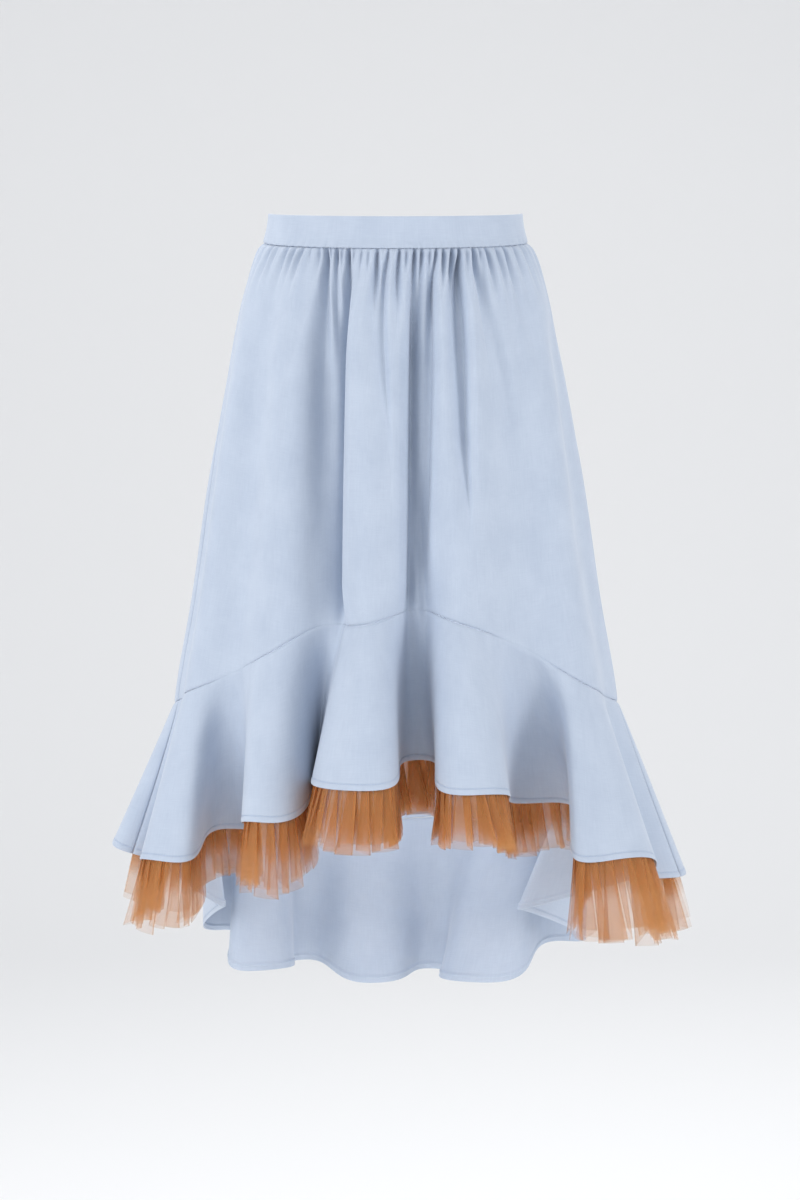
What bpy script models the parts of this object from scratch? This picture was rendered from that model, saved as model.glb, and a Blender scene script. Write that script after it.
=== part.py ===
# High-low skirt: a gathered body on a flat waistband, a fluted flounce and a tulle frill under its front.
# Blender 4.5, metres, +Z up. The front faces -Y. The origin is the middle of the waist.
import math

import bpy
import bmesh
from mathutils import Vector

MM = 0.001

# Walls of the cloth, and the gap between pieces that are sewn together
CLOTH = 1.6 * MM
BAND = 2.4 * MM
NET = 1.0 * MM
SEAM_GAP = 0.3 * MM

# Waistband heights at the sides, and how far its front dips
BAND_TOP = 16.5 * MM
BAND_BOTTOM = -11.0 * MM
TOP_DIP = 5.9 * MM
BOTTOM_DIP = 8.4 * MM
BAND_STANDS_OUT = 0.8 * MM

# Gathers below the waistband: two columns of points to a gather
COLUMNS_PER_FOLD = 8
GATHER = 1.9 * MM
GATHER_REACH = 0.42
BODY_LEVELS = (0.0, 0.035, 0.1, 0.21, 0.38, 0.58, 0.8, 1.0)
FLOUNCE_LEVELS = (0.0, 0.18, 0.38, 0.58, 0.79, 1.0)

# How the flounce spreads and its flutes deepen down to the hem, as powers of the way down, and the places
# to each side, within one row of the table of folds, that even its flutes out
SPREAD_CURVE = 1.15
FLUTE_CURVE = 0.85
EVENED_STEPS = 4

# Tulle frill: sewn this far above the hem, in pleats of two columns of points
FRILL_SEWN = 25 * MM
FRILL_COLUMNS = 16
FRILL_LEVELS = (-1.0, 0.0, 1.0)
BELOW_HEM_SPREAD = 0.4
PLEAT_TOP = 2.0 * MM
PLEAT_HEM = 6.0 * MM
PLY_STEP = 3.8 * MM

# Seam allowance inside the back, turned up at the flounce seam
ALLOWANCE = 6 * MM
ALLOWANCE_WALL = 1.0 * MM

# Zip slider and pull tab at the centre back
SLIDER_WIDTH = 5.6 * MM
SLIDER_HEIGHT = 9.0 * MM
SLIDER_DEPTH = 2.0 * MM
BAIL_WIDTH = 1.8 * MM
BAIL_DEPTH = 3.4 * MM
BAIL_BAR = 1.0 * MM
TAB_WIDTH = 6.0 * MM
TAB_LENGTH = 17.0 * MM
TAB_THICK = 1.0 * MM
TAB_WINDOW = 6.0 * MM
TAB_LEG = 1.5 * MM
TAB_HEAD = 1.0 * MM
ZIP_HEIGHT = 11.0 * MM


def rows(columns, *lines):
    """A table as a list of rows, each a dictionary by column name."""
    return [dict(zip(columns, line)) for line in lines]


# Form of the skirt at each height: half width, and depth to the front and to the back, mm
FORM = rows(
    ("z", "half_width", "front", "back"),
    (16.5, 124.4, 93, 93),
    (-11, 129.4, 96, 96),
    (-20, 135.5, 101, 102),
    (-40, 144, 108, 111),
    (-76, 154, 117, 121),
    (-124, 164, 126, 133),
    (-220, 179.5, 138, 150),
    (-364, 200.5, 153, 170),
    (-460, 217.5, 165, 182),
    (-640, 236, 186, 205),
)

# Height of the flounce seam round the skirt, by the angle from the front, mm
SEAM = rows(
    ("angle", "z"),
    (-180, -629),
    (-150, -612),
    (-122, -550),
    (-96, -474),
    (-80, -459),
    (-66, -447),
    (-50, -426),
    (-35, -402),
    (-22, -377),
    (-8, -371),
    (6, -361),
    (20, -374),
    (40, -404),
    (60, -441),
    (78, -458),
    (96, -474),
    (122, -550),
    (150, -612),
    (180, -629),
)

# Folds round the skirt, from the back over the left side to the front and on, in turn a furrow and
# a crest: angles at the waist and at the seam, the way the hem faces, the hem's place (mm), the fold's
# breadth at the hem, its relief at the seam, and how far the tulle hangs below the hem
FOLDS = rows(
    ("waist", "seam", "faces", "x", "y", "z", "breadth", "relief", "net"),
    (-172.8, -172.8, -174, -24, 172, -804, 150, -5, 60),
    (-158, -157, -165, -102, 222, -791, 110, 5, 60),
    (-142, -141, -165, -147, 128, -779, 220, -7, 60),
    (-128, -125, -165, -190, 192, -750, 150, 6, 60),
    (-115, -111, -111, -178, 62, -694, 40, -9, 60),
    (-100, -97, -93, -287, 12, -614, 150, 6, 60),
    (-84, -82, -75, -236, -20, -628, 60, -5, 64),
    (-68, -66, -30, -223, -112, -608, 200, 6, 76),
    (-52, -50, -12, -162, -38, -591, 150, -7, 66),
    (-40, -35, -20, -124, -165, -559, 180, 6, 74),
    (-29, -20, -15, -77, -92, -528, 12, -17, 66),
    (-6.4, -7.4, -7, -34, -226, -517, 208, 10, 64),
    (10, 5.2, 5, 23, -97, -511, 130, -19, 57),
    (26, 17, 14, 74, -215, -523, 222, 8, 55),
    (44, 38, 14, 150, -46, -563, 240, -7, 64),
    (66, 59, 36, 204, -140, -601, 330, 6, 96),
    (83, 78, 78, 247, -28, -645, 40, -4, 70),
    (98, 95, 92, 296, 20, -647, 130, 6, 58),
    (114, 110, 110, 127, 60, -696, 40, -9, 60),
    (130, 128, 165, 188, 190, -762, 200, 6, 60),
    (146, 148, 172, 90, 140, -795, 250, -7, 60),
    (168, 168, 168, 42, 222, -801, 110, 5, 60),
)

# Where the panels meet, as places in the table of folds
LEFT_SEAM = 5.5
RIGHT_SEAM = 16.75
BACK_SEAM = 21.625
TURN = len(FOLDS)


def smooth(table, key, name, at):
    """Column name at a place in column key, on a curve through the rows that never overshoots them."""
    table = sorted(table, key=lambda row: row[key])
    last = len(table) - 2
    k = 0
    while k < last and at > table[k + 1][key]:
        k += 1
    place = [row[key] for row in table]
    value = [row[name] for row in table]

    def slope(i):
        if i <= 0 or i >= len(table) - 1:
            return 0.0
        before = (value[i] - value[i - 1]) / (place[i] - place[i - 1])
        after = (value[i + 1] - value[i]) / (place[i + 1] - place[i])
        if before * after <= 0:
            return 0.0
        return 2 * before * after / (before + after)

    width = place[k + 1] - place[k]
    t = min(max((at - place[k]) / width, 0.0), 1.0)
    start, leave, end, arrive = hermite(t)
    curve = start * value[k] + end * value[k + 1]
    return curve + width * (leave * slope(k) + arrive * slope(k + 1))


def hermite(t):
    """Weights of the start, its slope, the end and its slope."""
    return (
        2 * t**3 - 3 * t**2 + 1,
        t**3 - 2 * t**2 + t,
        3 * t**2 - 2 * t**3,
        t**3 - t**2,
    )


def fold(q):
    """The folds at place q, between row floor(q) and the next: angles in degrees, sizes in metres."""
    k = math.floor(q)
    t = q - k
    a = FOLDS[k % TURN]
    b = FOLDS[(k + 1) % TURN]
    turn_a = 360 * (k // TURN)
    turn_b = 360 * ((k + 1) // TURN)
    ease = (1 - math.cos(math.pi * t)) / 2
    start, leave, end, arrive = hermite(t)
    way_a = math.radians(a["faces"])
    way_b = math.radians(b["faces"])
    run_a = Vector((math.cos(way_a), math.sin(way_a), 0)) * a["breadth"]
    run_b = Vector((math.cos(way_b), math.sin(way_b), 0)) * b["breadth"]
    place_a = Vector((a["x"], a["y"], 0))
    place_b = Vector((b["x"], b["y"], 0))
    hem = start * place_a + leave * run_a + end * place_b + arrive * run_b
    hem.z = a["z"] + (b["z"] - a["z"]) * ease
    return {
        "waist": a["waist"] + turn_a + (b["waist"] + turn_b - a["waist"] - turn_a) * t,
        "seam": a["seam"] + turn_a + (b["seam"] + turn_b - a["seam"] - turn_a) * t,
        "relief": (a["relief"] + (b["relief"] - a["relief"]) * ease) * MM,
        "net": (a["net"] + (b["net"] - a["net"]) * ease) * MM,
        "hem": hem * MM,
    }


def form_point(angle, z, out=0.0):
    """A point of the form at an angle from the front and a height, moved straight out by out."""
    u = math.radians(angle)
    across = math.sin(u)
    ahead = math.cos(u)
    half_width = smooth(FORM, "z", "half_width", z / MM) * MM
    depth = smooth(FORM, "z", "front" if ahead > 0 else "back", z / MM) * MM
    normal = Vector((across / half_width, -ahead / depth, 0)).normalized()
    return Vector((half_width * across, -depth * ahead, z)) + normal * out


def seam_height(angle):
    turned = (angle + 180) % 360 - 180
    return smooth(SEAM, "angle", "z", turned) * MM


def band_edge(angle, side_height, dip):
    return side_height - dip * max(0.0, math.cos(math.radians(angle)))


def band_point(q, level):
    """The waistband from its lower edge (level 0) to its top (level 1)."""
    angle = fold(q)["waist"]
    low = band_edge(angle, BAND_BOTTOM, BOTTOM_DIP)
    high = band_edge(angle, BAND_TOP, TOP_DIP)
    return form_point(angle, low + (high - low) * level)


def body_point(q, level):
    """The body from the waistband (level 0) to the flounce seam (level 1), with its large folds."""
    f = fold(q)
    top = band_edge(f["waist"], BAND_BOTTOM, BOTTOM_DIP) - SEAM_GAP
    end = seam_height(f["seam"]) + SEAM_GAP / 2
    angle = f["waist"] + (f["seam"] - f["waist"]) * level**0.7
    grown = math.sin(math.pi / 2 * min(1.0, 1.6 * level))
    return form_point(angle, top + (end - top) * level, f["relief"] * grown)


def plain_hem(q):
    """The hem's line with its flutes evened out."""
    total = Vector((0, 0, 0))
    whole = 0
    for step in range(-EVENED_STEPS, EVENED_STEPS + 1):
        share = step / EVENED_STEPS
        weight = 1 - abs(share) / 2
        if abs(step) == EVENED_STEPS:
            weight = weight / 2
        total += fold(q + share)["hem"] * weight
        whole += weight
    return total / whole


def flounce_point(q, level):
    """The flounce from the seam (level 0) to the hem (level 1), and on below it with less spread."""
    f = fold(q)
    z = seam_height(f["seam"])
    start = form_point(f["seam"], z, f["relief"])
    start.z = z - SEAM_GAP / 2
    evened = plain_hem(q)
    above = min(level, 1.0)
    below = BELOW_HEM_SPREAD * max(level - 1.0, 0.0)
    spread = (evened - start) * (above**SPREAD_CURVE + below)
    flutes = (f["hem"] - evened) * (above**FLUTE_CURVE + below)
    place = start + spread + flutes
    place.z = start.z + (f["hem"].z - start.z) * level
    return place


def frill_point(q, level):
    """The tulle's line, from its seam inside the flounce (level -1) to its cut ends (level 1).

    Level 0 is at the hem.
    """
    slant = (flounce_point(q, 1) - flounce_point(q, 0)).length
    length = fold(q)["net"] if level > 0 else FRILL_SEWN
    return flounce_point(q, 1 + length * level / slant)


def allowance_point(q, level):
    """A strip up the inside of the body from the flounce seam, on the body's last ring of faces."""
    low = body_point(q, 1)
    high = body_point(q, BODY_LEVELS[-2])
    return low.lerp(high, (SEAM_GAP + ALLOWANCE * level) / (high - low).length)


def gather_relief(q, level):
    """Gathers: every second column stands out and the one beside it lies in, uneven, fading down the body."""
    column = round(q * COLUMNS_PER_FOLD)
    uneven = 0.75 + 0.25 * math.sin(1.9 * column) + 0.2 * math.sin(0.7 * column)
    reach = GATHER_REACH * (0.6 + 0.4 * math.sin(2.3 * column))
    fade = max(0.0, 1 - level / reach)
    side = 1 if column % 2 else -1
    return side * GATHER * uneven * fade


def plain(q, level):
    return 0.0


def band_relief(q, level):
    return BAND_STANDS_OUT


def allowance_relief(q, level):
    return -CLOTH - SEAM_GAP


def pleat_relief(ply):
    """Pleats of one ply of tulle, all to the inside of the flounce wall."""
    clear = CLOTH + SEAM_GAP + ply * PLY_STEP

    def relief(q, level):
        column = round(q * FRILL_COLUMNS)
        opened = (level + 1) / 2
        deep = PLEAT_TOP + (PLEAT_HEM - PLEAT_TOP) * opened
        uneven = 0.8 + 0.2 * math.sin(2.1 * column + ply)
        lies_in = (column + ply) % 2
        flare = ply * (PLEAT_HEM - PLEAT_TOP) * opened
        return -clear - flare - deep * uneven * lies_in

    return relief


def columns(start, end, per_fold):
    """Places from start to end, per_fold to a row of the table of folds."""
    first = round(start * per_fold)
    last = round(end * per_fold)
    return [column / per_fold for column in range(first, last + 1)]


def plan_way(point, q, level):
    """The way the piece runs in plan at q, as a unit vector."""
    step = 0.02
    way = point(q + step, level) - point(q - step, level)
    way.z = 0
    return way.normalized()


def on_faces(point, q, level):
    """Place and way in plan at q, on the flat faces between the columns that all pieces share."""
    column = math.floor(q * COLUMNS_PER_FOLD + 0.001)
    part = q * COLUMNS_PER_FOLD - column
    before = column / COLUMNS_PER_FOLD
    after = (column + 1) / COLUMNS_PER_FOLD
    at = point(before, level).lerp(point(after, level), part)
    way = plan_way(point, before, level).lerp(plan_way(point, after, level), part)
    return at, way.normalized()


def wall(name, places, levels, point, relief, thickness, material):
    """A closed wall of cloth: its outer face through the points, its inner face thickness further in."""
    mesh = bmesh.new()
    grids = ([], [])
    for level in levels:
        lines = ([], [])
        for i, q in enumerate(places):
            at, way = on_faces(point, q, level)
            out = Vector((way.y, -way.x, 0))
            at += out * relief(q, level)
            if i == 0:
                at += way * SEAM_GAP / 2
            if i == len(places) - 1:
                at -= way * SEAM_GAP / 2
            lines[0].append(mesh.verts.new(at))
            lines[1].append(mesh.verts.new(at - out * thickness))
        grids[0].append(lines[0])
        grids[1].append(lines[1])
    outer, inner = grids
    last_level = len(levels) - 1
    last_place = len(places) - 1
    for i in range(last_level):
        for j in range(last_place):
            for grid in grids:
                face = mesh.faces.new((grid[i][j], grid[i][j + 1], grid[i + 1][j + 1], grid[i + 1][j]))
                face.smooth = True
        for j in (0, last_place):
            mesh.faces.new((outer[i][j], outer[i + 1][j], inner[i + 1][j], inner[i][j]))
    for j in range(last_place):
        for i in (0, last_level):
            mesh.faces.new((outer[i][j], outer[i][j + 1], inner[i][j + 1], inner[i][j]))
    return finish(mesh, name, material)


def finish(mesh, name, material):
    """Turns the faces outwards and makes the object."""
    bmesh.ops.recalc_face_normals(mesh, faces=mesh.faces)
    data = bpy.data.meshes.new(name)
    mesh.to_mesh(data)
    mesh.free()
    data.materials.append(material)
    piece = bpy.data.objects.new(name, data)
    bpy.context.scene.collection.objects.link(piece)
    return piece


def principled(name, colour, roughness, metallic=0.0):
    material = bpy.data.materials.new(name)
    material.use_nodes = True
    shader = material.node_tree.nodes["Principled BSDF"]
    shader.inputs["Base Color"].default_value = (*colour, 1)
    shader.inputs["Roughness"].default_value = roughness
    shader.inputs["Metallic"].default_value = metallic
    return material


def waistband(cloth):
    levels = (0.0, 1.0)
    for name, start, end in (
        ("waistband_front", LEFT_SEAM, RIGHT_SEAM),
        ("waistband_back_right", RIGHT_SEAM, BACK_SEAM),
        ("waistband_back_left", BACK_SEAM, LEFT_SEAM + TURN),
    ):
        places = columns(start, end, COLUMNS_PER_FOLD)
        wall(name, places, levels, band_point, band_relief, BAND, cloth)


def body(cloth):
    for name, start, end in (
        ("body_front", LEFT_SEAM, RIGHT_SEAM),
        ("body_back_right", RIGHT_SEAM, BACK_SEAM),
        ("body_back_left", BACK_SEAM, LEFT_SEAM + TURN),
    ):
        places = columns(start, end, COLUMNS_PER_FOLD)
        wall(name, places, BODY_LEVELS, body_point, gather_relief, CLOTH, cloth)


def flounce(cloth):
    for name, start, end in (
        ("flounce_front", LEFT_SEAM, RIGHT_SEAM),
        ("flounce_back", RIGHT_SEAM, LEFT_SEAM + TURN),
    ):
        places = columns(start, end, COLUMNS_PER_FOLD)
        wall(name, places, FLOUNCE_LEVELS, flounce_point, plain, CLOTH, cloth)


def frill(net):
    places = columns(LEFT_SEAM, RIGHT_SEAM, FRILL_COLUMNS)
    for ply, name in enumerate(("tulle_frill_outer", "tulle_frill_inner")):
        wall(name, places, FRILL_LEVELS, frill_point, pleat_relief(ply), NET, net)


def seam_allowance(cloth):
    places = columns(RIGHT_SEAM, LEFT_SEAM + TURN, COLUMNS_PER_FOLD)
    wall(
        "seam_allowance_back",
        places,
        (0.0, 1.0),
        allowance_point,
        allowance_relief,
        ALLOWANCE_WALL,
        cloth,
    )


def block(name, low, high, material):
    """A box from its low corner to its high corner."""
    mesh = bmesh.new()
    size = Vector(high) - Vector(low)
    middle = (Vector(high) + Vector(low)) / 2
    bmesh.ops.create_cube(mesh, size=1)
    bmesh.ops.scale(mesh, vec=size, verts=mesh.verts)
    bmesh.ops.translate(mesh, vec=middle, verts=mesh.verts)
    return finish(mesh, name, material)


def boolean(piece, cutter, operation):
    """Adds or cuts a hidden helper solid."""
    cutter.hide_render = True
    cutter.display_type = "WIRE"
    cutter.parent = piece.parent
    modifier = piece.modifiers.new(cutter.name, "BOOLEAN")
    modifier.object = cutter
    modifier.operation = operation
    modifier.solver = "EXACT"


def zip_pull(metal):
    """The concealed zip's slider with its bail, and the pull tab that swings on it about X."""
    low = band_point(BACK_SEAM, 0)
    high = band_point(BACK_SEAM, 1)
    slider_end = ZIP_HEIGHT - SLIDER_HEIGHT / 2
    band_face = low.lerp(high, (slider_end - low.z) / (high.z - low.z)).y + BAND_STANDS_OUT
    place = bpy.data.objects.new("zip_place", None)
    place.location = (0, band_face + SEAM_GAP, ZIP_HEIGHT)
    bpy.context.scene.collection.objects.link(place)
    half_height = SLIDER_HEIGHT / 2
    face = SLIDER_DEPTH
    slider = block(
        "zip_slider",
        (-SLIDER_WIDTH / 2, 0, -half_height),
        (SLIDER_WIDTH / 2, face, half_height),
        metal,
    )
    slider.parent = place
    bevel = slider.modifiers.new("rounded", "BEVEL")
    bevel.width = 0.5 * MM
    bevel.segments = 1
    bail_half = half_height - 1.2 * MM
    bail = block(
        "bail_outside",
        (-BAIL_WIDTH / 2, face - 0.5 * MM, -bail_half),
        (BAIL_WIDTH / 2, face + BAIL_DEPTH, bail_half),
        metal,
    )
    boolean(slider, bail, "UNION")
    window = block(
        "bail_window",
        (-BAIL_WIDTH, face, -bail_half + BAIL_BAR),
        (BAIL_WIDTH, face + BAIL_DEPTH - BAIL_BAR, bail_half - BAIL_BAR),
        metal,
    )
    boolean(slider, window, "DIFFERENCE")
    axis_out = face + (BAIL_DEPTH - BAIL_BAR) / 2
    tab = block(
        "zip_pull_tab",
        (-TAB_WIDTH / 2, -TAB_THICK / 2, -TAB_LENGTH + TAB_HEAD / 2),
        (TAB_WIDTH / 2, TAB_THICK / 2, TAB_HEAD / 2),
        metal,
    )
    tab.parent = place
    tab.location = (0, axis_out, 0)
    slot = block(
        "tab_window",
        (-TAB_WIDTH / 2 + TAB_LEG, -TAB_THICK, -TAB_WINDOW),
        (TAB_WIDTH / 2 - TAB_LEG, TAB_THICK, -TAB_HEAD / 2),
        metal,
    )
    slot.location = tab.location
    boolean(tab, slot, "DIFFERENCE")
    slot.parent = place


def main():
    for leftover in list(bpy.data.objects):
        bpy.data.objects.remove(leftover)
    cloth = principled("pale_blue_cloth", (0.56, 0.66, 0.80), 0.62)
    net = principled("tan_tulle", (0.60, 0.31, 0.15), 0.8)
    metal = principled("painted_zip_metal", (0.55, 0.62, 0.72), 0.35, 0.6)
    waistband(cloth)
    body(cloth)
    flounce(cloth)
    frill(net)
    seam_allowance(cloth)
    zip_pull(metal)


main()
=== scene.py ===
import math

import bpy
import numpy as np
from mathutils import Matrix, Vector


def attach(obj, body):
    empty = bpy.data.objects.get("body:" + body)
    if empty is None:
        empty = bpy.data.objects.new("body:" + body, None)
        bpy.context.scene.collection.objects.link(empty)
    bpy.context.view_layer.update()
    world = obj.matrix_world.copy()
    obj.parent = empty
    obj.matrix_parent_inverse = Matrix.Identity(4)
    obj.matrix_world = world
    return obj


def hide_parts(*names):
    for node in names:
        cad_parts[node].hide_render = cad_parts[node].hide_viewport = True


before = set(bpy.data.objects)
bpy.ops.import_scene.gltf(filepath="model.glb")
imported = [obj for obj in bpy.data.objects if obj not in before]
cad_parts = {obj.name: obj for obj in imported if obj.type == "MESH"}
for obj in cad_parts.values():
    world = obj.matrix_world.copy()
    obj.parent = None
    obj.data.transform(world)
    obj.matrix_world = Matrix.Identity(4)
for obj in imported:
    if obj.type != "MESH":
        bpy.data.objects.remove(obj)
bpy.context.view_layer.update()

MM = 0.001

# Cloth, hem and seams: the hem is turned up so far and stitched so far above its edge, which is thicker there,
# with a groove at the stitches and a rounded fold at the edge
CLOTH = 0.9
HEM_TURNED = 7.5
HEM_STITCHED = 6.0
HEM_THICKER = 0.7
HEM_GROOVE = 0.4
HEM_PUFF = 0.25
HEM_EDGE = 0.5
SEAM_GAP = 0.3
SEAM_ROLL = 1.3
SEAM_ROLL_WIDTH = 1.6

# Columns of points to each fold of the flounce, the body, the tulle's line and the fine lines of stitches
FLOUNCE_COLUMNS = 36
BODY_COLUMNS = 48
BAND_COLUMNS = 20
ALLOWANCE_COLUMNS = 12
NET_COLUMNS = 60
HEM_LINE_COLUMNS = 60
OVERLOCK_COLUMNS = 40

# Rows of points, in millimetres from the near edge: the body's are close together where it is gathered, and the
# flounce's where its hem is stitched
BODY_TOP_ROWS = (0, 0.8, 1.8, 3, 4.5, 6.5, 9, 12, 15.5, 19.5, 24, 29, 34, 40, 46, 53, 60, 68, 76, 85, 94, 104)
BODY_ROWS = 60
SEAM_ROWS = (0, 0.6, 1.4, 2.6, 4.5, 8)
FLOUNCE_ROWS = 34
HEM_ROWS = (0, 0.4, 1.2, 2.5, 4, 5, 5.6, 6, 6.4, 7, 8, 10)

# Waistband heights at the sides, and how far its front dips
BAND_TOP = 16.5
BAND_BOTTOM = -11.0
TOP_DIP = 5.9
BOTTOM_DIP = 8.4
BAND_THICK = 2.2
BAND_STANDS_OUT = 0.8
BAND_HEIGHT = 24.0

# Tulle: sewn this far above the hem; rows of points from there past the hem (0) to its cut ends (1), and points
# across each face of a pleat, as shares of it
FRILL_SEWN = 25.0
BELOW_HEM_SPREAD = 0.75
AIRY_SHIFT = 0.35
TULLE = 0.25
NET_LEVELS = (-1.0, -0.5, -0.15, 0.0, 0.1, 0.2, 0.32, 0.45, 0.58, 0.7, 0.8, 0.88, 0.95, 1.0)
PLEAT_POINTS = (0.0, 0.06, 0.25, 0.5, 0.75, 0.94)

# How the flounce spreads and how its flutes deepen from the seam to the hem, as powers of the way down
SPREAD_CURVE = 1.15
FLUTE_CURVE = 0.85

# Seam allowance inside the back
ALLOWANCE = 6.0
ALLOWANCE_WALL = 1.0
ALLOWANCE_STANDS_IN = 1.9

# Thread: radius, length of a stitch and the step between them, the points round it, and its radius along a stitch
THREAD = 0.2
STITCH = 2.6
STITCH_STEP = 3.3
OVERLOCK_THREAD = 0.28
OVERLOCK_STEP = 2.3
THREAD_POINTS = 6
STITCH_RINGS = ((0.0, 0.35), (0.2, 1.0), (0.8, 1.0), (1.0, 0.35))


def table(columns, *lines):
    """A table as arrays by column name."""
    return {name: np.array(values, float) for name, values in zip(columns, zip(*lines))}


# Form of the skirt at each height: half width, and depth to the front and to the back
FORM = table(
    ("z", "half_width", "front", "back"),
    (-640, 236, 186, 205),
    (-460, 217.5, 165, 182),
    (-364, 200.5, 153, 170),
    (-220, 179.5, 138, 150),
    (-124, 164, 126, 133),
    (-76, 154, 117, 121),
    (-40, 144, 108, 111),
    (-20, 135.5, 101, 102),
    (-11, 129.4, 96, 96),
    (16.5, 124.4, 93, 93),
)

# Height of the flounce seam round the skirt, by the angle from the front
SEAM = table(
    ("angle", "z"),
    (-180, -629),
    (-150, -612),
    (-122, -550),
    (-96, -474),
    (-80, -459),
    (-66, -447),
    (-50, -426),
    (-35, -402),
    (-22, -377),
    (-8, -371),
    (6, -361),
    (20, -374),
    (40, -404),
    (60, -441),
    (78, -458),
    (96, -474),
    (122, -550),
    (150, -612),
    (180, -629),
)

# Folds round the skirt, from the back over the left side to the front and on, in turn a furrow and a crest:
# angles at the waist and at the seam, the way the hem faces, the hem's place, the fold's breadth at the hem,
# its relief at the seam, and how far the tulle hangs below the hem
FOLDS = table(
    ("waist", "seam", "faces", "x", "y", "z", "breadth", "relief", "net"),
    (-172.8, -172.8, -174, -24, 172, -804, 150, -5, 60),
    (-158, -157, -165, -102, 222, -791, 110, 5, 60),
    (-142, -141, -165, -147, 128, -779, 220, -7, 60),
    (-128, -125, -165, -190, 192, -750, 150, 6, 60),
    (-115, -111, -111, -178, 62, -694, 40, -9, 60),
    (-100, -97, -93, -287, 12, -614, 150, 6, 60),
    (-84, -82, -75, -236, -20, -628, 60, -5, 64),
    (-68, -66, -30, -223, -112, -608, 200, 6, 76),
    (-52, -50, -12, -162, -38, -591, 150, -7, 66),
    (-40, -35, -20, -124, -165, -559, 180, 6, 74),
    (-29, -20, -15, -77, -92, -528, 12, -17, 66),
    (-6.4, -7.4, -7, -34, -226, -517, 208, 10, 64),
    (10, 5.2, 5, 23, -97, -511, 130, -19, 57),
    (26, 17, 14, 74, -215, -523, 222, 8, 55),
    (44, 38, 14, 150, -46, -563, 240, -7, 64),
    (66, 59, 36, 204, -140, -601, 330, 6, 96),
    (83, 78, 78, 247, -28, -645, 40, -4, 70),
    (98, 95, 92, 296, 20, -647, 130, 6, 58),
    (114, 110, 110, 127, 60, -696, 40, -9, 60),
    (130, 128, 165, 188, 190, -762, 200, 6, 60),
    (146, 148, 172, 90, 140, -795, 250, -7, 60),
    (168, 168, 168, 42, 222, -801, 110, 5, 60),
)

# Where the panels meet, as places in the table of folds
LEFT_SEAM = 5.5
RIGHT_SEAM = 16.75
BACK_SEAM = 21.625
TURN = 22

# Creases that run down the body: angles and heights where each starts and ends, how far it stands out (in if it is
# negative), its width to its left and to its right, how far its right side laps over it (its left side, if it is
# negative), and the shares of its length over which it grows and fades
CREASES = table(
    ("from_angle", "to_angle", "from_z", "to_z", "out", "left", "right", "lap", "grow", "fade"),
    (-16.8, -13.9, -18, -392, -23.0, 20, 2.6, 7, 0.3, 0.16),
    (-12.4, -10.8, -25, -400, 5.0, 3.5, 12, 0, 0.2, 0.3),
    (-18.2, -15.2, -50, -395, -9.0, 7, 1.6, 0, 0.2, 0.12),
    (-29.5, -23.0, -18, -330, -7.0, 7, 14, 0, 0.05, 0.45),
    (-24.5, -24.0, -30, -150, 4.0, 5, 6, 0, 0.1, 0.5),
    (7.3, 3.6, -18, -388, -15.5, 4.6, 8.5, -3.4, 0.3, 0.14),
    (1.2, 0.0, -60, -385, 4.0, 10, 3.5, 0, 0.2, 0.3),
    (7.5, 10.2, -200, -396, -13.0, 9, 6, 0, 0.6, 0.08),
    (15.2, 8.8, -18, -370, -11.0, 10, 2.6, 4, 0.15, 0.3),
    (18.5, 13.0, -30, -300, 4.0, 4, 9, 0, 0.1, 0.5),
    (-5.0, -1.2, -24, -300, -8.0, 13, 4, 2, 0.1, 0.7),
    (26.8, 20.8, -18, -310, -13.0, 14, 2.6, 4, 0.1, 0.45),
    (29.6, 24.8, -30, -300, 4.0, 3.5, 14, 0, 0.1, 0.5),
    (33.9, 43.0, -18, -250, -3.6, 7, 7, 0, 0.1, 0.6),
    (38.5, 47.0, -22, -220, 2.2, 7, 10, 0, 0.1, 0.6),
    (-38.0, -47.0, -20, -140, 2.4, 7, 7, 0, 0.1, 0.6),
    (-33.5, -40.0, -18, -150, -2.6, 6, 8, 0, 0.1, 0.6),
    (-61.0, -56.0, -60, -420, -4.0, 30, 22, 0, 0.1, 0.4),
    (52.0, 60.0, -18, -200, -2.4, 9, 12, 0, 0.1, 0.6),
    (75.0, 66.0, -80, -420, -4.5, 26, 26, 0, 0.1, 0.4),
    (96.0, 100.0, -18, -300, -4.0, 14, 10, 0, 0.1, 0.5),
    (112.0, 108.0, -18, -380, -5.5, 12, 18, 0, 0.1, 0.4),
    (121.0, 120.0, -18, -280, 3.0, 10, 10, 0, 0.1, 0.5),
    (134.0, 139.0, -18, -420, -5.0, 14, 8, 0, 0.1, 0.4),
    (150.0, 152.0, -18, -300, -4.0, 8, 14, 0, 0.1, 0.5),
    (159.0, 160.0, -18, -360, 3.0, 9, 9, 0, 0.1, 0.5),
    (172.0, 170.0, -18, -240, -3.0, 9, 9, 0, 0.1, 0.6),
    (-167.0, -165.0, -18, -330, -4.5, 12, 8, 0, 0.1, 0.5),
    (-151.0, -153.0, -18, -460, -5.5, 9, 18, 0, 0.1, 0.4),
    (-143.0, -144.0, -18, -300, 3.0, 9, 9, 0, 0.1, 0.5),
    (-129.0, -127.0, -18, -360, -4.5, 16, 9, 0, 0.1, 0.5),
    (-112.0, -110.0, -18, -420, -5.5, 12, 16, 0, 0.1, 0.4),
    (-97.0, -99.0, -18, -280, -4.0, 10, 14, 0, 0.1, 0.5),
)
LAP_REACH = 26.0

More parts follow.
